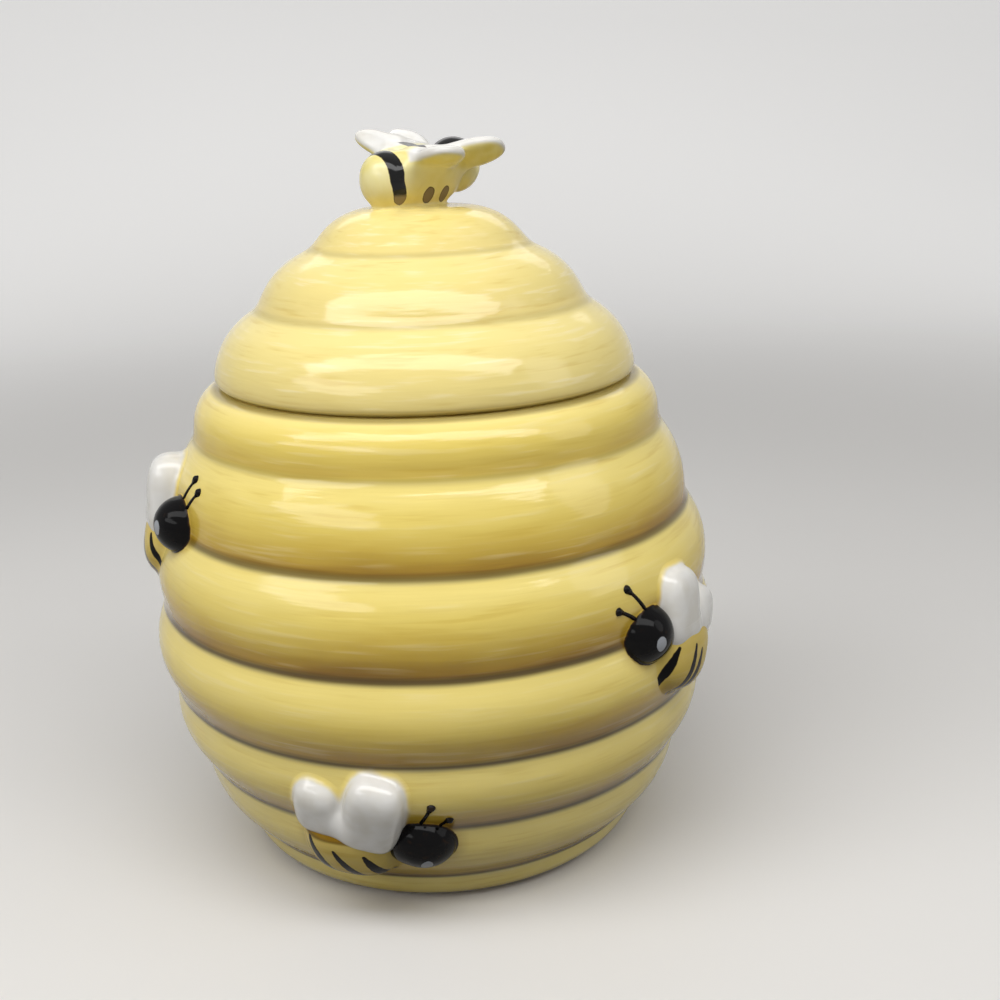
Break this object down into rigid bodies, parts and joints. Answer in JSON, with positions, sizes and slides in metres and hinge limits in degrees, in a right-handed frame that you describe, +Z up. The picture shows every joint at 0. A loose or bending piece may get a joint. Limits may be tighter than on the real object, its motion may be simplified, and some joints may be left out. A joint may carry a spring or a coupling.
{
  "type": "cookie jar",
  "caption": "Round glazed stoneware jar shaped as a straw beehive, with relief bees on its coils and a lift-off domed lid whose knob is a bee.",
  "frame": {"origin": "on the hive's axis, at the table, in the plane of the foot ring", "axes": "+Z up along the hive's axis, -Y the front that the picture looks at, +X to its right"},
  "size_m": [0.2032, 0.2018, 0.2495],
  "materials": {
    "yellow_glaze": "glossy honey yellow glaze with fine brushed streaks, thicker and brown in the grooves between the coils",
    "cream_glaze": "glossy cream glaze with brown black bands",
    "white_glaze": "glossy white glaze that thins to yellow at its edges",
    "black_glaze": "glossy black glaze"
  },
  "bodies": {
    "jar": {"jar_shell": "yellow_glaze", "left_bee_head": "black_glaze", "left_bee_body": "yellow_glaze", "left_bee_fore_wing": "white_glaze", "left_bee_hind_wing": "white_glaze", "left_bee_antennae": "black_glaze", "right_bee_head": "black_glaze", "right_bee_body": "yellow_glaze", "right_bee_fore_wing": "white_glaze", "right_bee_hind_wing": "white_glaze", "right_bee_antennae": "black_glaze", "front_bee_head": "black_glaze", "front_bee_body": "yellow_glaze", "front_bee_fore_wing": "white_glaze", "front_bee_hind_wing": "white_glaze", "front_bee_antennae": "black_glaze"},
    "lid": {"lid_shell": "yellow_glaze", "lid_bee_body": "cream_glaze", "lid_bee_head": "black_glaze", "lid_bee_left_fore_wing": "white_glaze", "lid_bee_left_hind_wing": "white_glaze", "lid_bee_right_fore_wing": "white_glaze", "lid_bee_right_hind_wing": "white_glaze"}
  },
  "joints": [
    {"name": "lid_lift", "type": "slide", "parent": "jar", "child": "lid", "axis": [0, 0, 1], "range_m": [0, 0.16]}
  ]
}
